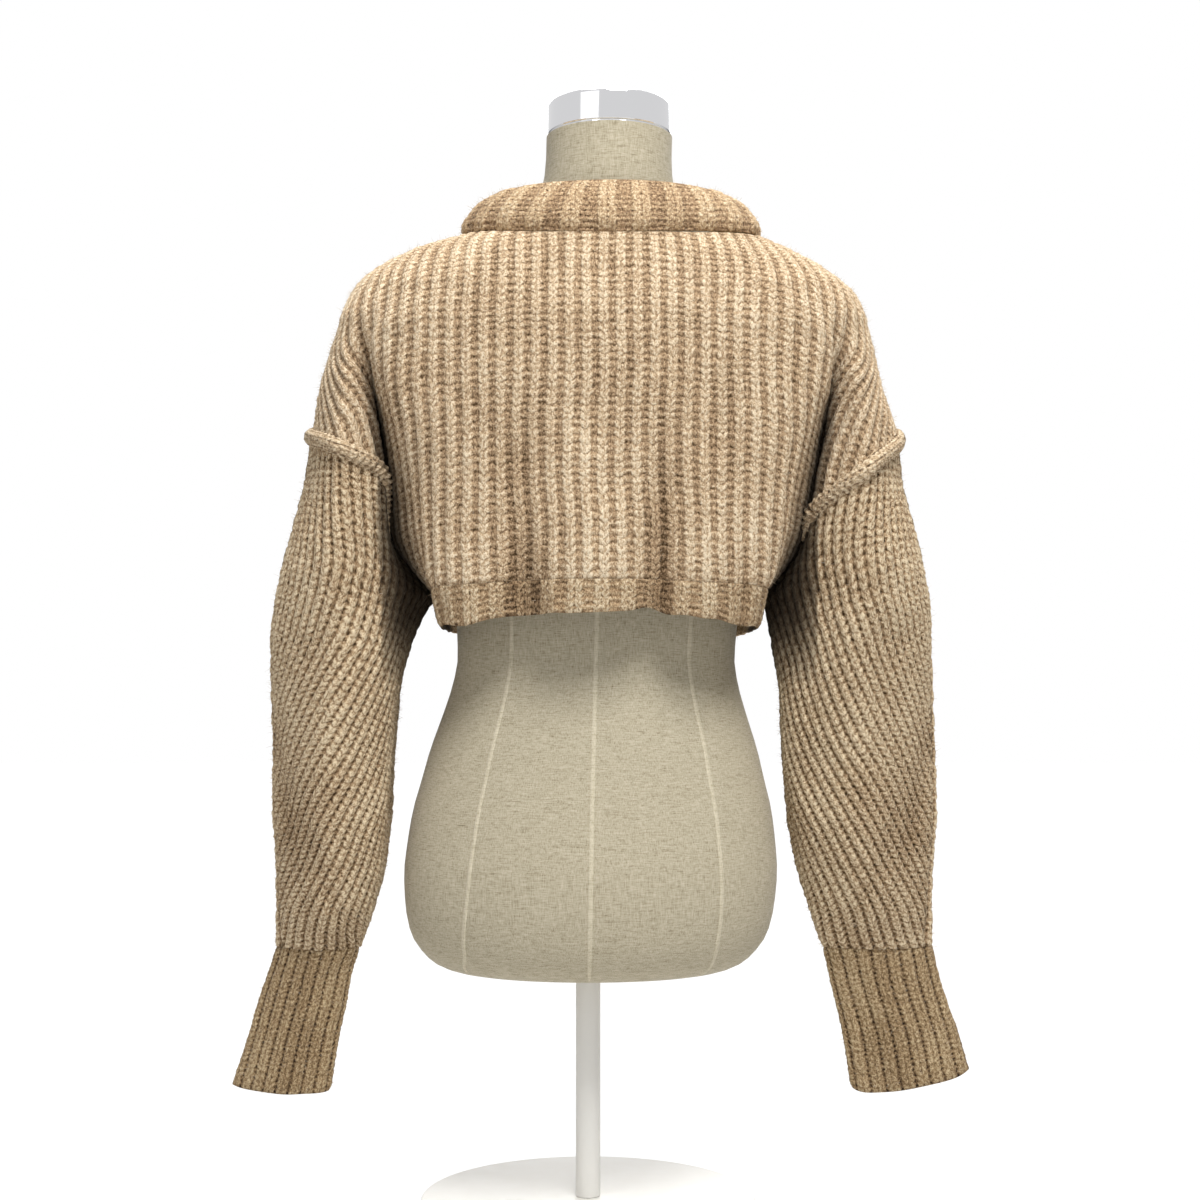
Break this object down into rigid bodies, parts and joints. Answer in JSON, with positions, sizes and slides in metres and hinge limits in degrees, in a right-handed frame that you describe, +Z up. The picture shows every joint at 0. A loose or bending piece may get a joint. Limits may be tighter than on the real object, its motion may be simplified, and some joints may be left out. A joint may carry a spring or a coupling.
{
  "type": "cropped knit sweater on a dress form",
  "caption": "Cropped sweater in chunky half-cardigan rib with dropped shoulders, wide sleeves and ribbed collar, hem and cuffs, worn by a limbless linen dress form on a pole stand.",
  "frame": {"origin": "on the underside of the stand's base, straight below the middle of the sweater's body", "axes": "+Z up, -Y towards the sweater's back, -X towards the wearer's left"},
  "size_m": [0.664, 0.3, 0.989],
  "materials": {
    "wool_rib": "half-cardigan rib knit, heathered wool, slightly brushed",
    "wool_two_by_two": "two by two rib knit, heathered wool, slightly brushed",
    "linen": "plain woven linen, matte",
    "polished_metal": "polished",
    "painted_steel": "satin off-white"
  },
  "bodies": {
    "root": {"back_panel": "wool_rib", "front_panel": "wool_rib", "hem_band_back": "wool_two_by_two", "hem_band_front": "wool_two_by_two", "sleeve_left": "wool_rib", "sleeve_right": "wool_rib", "armhole_welt_left": "wool_rib", "armhole_welt_right": "wool_rib", "cuff_left": "wool_two_by_two", "cuff_right": "wool_two_by_two", "neck_band": "wool_two_by_two", "form_torso": "linen", "neck_cap": "polished_metal", "stand_pole": "painted_steel", "stand_base": "painted_steel"}
  },
  "joints": []
}
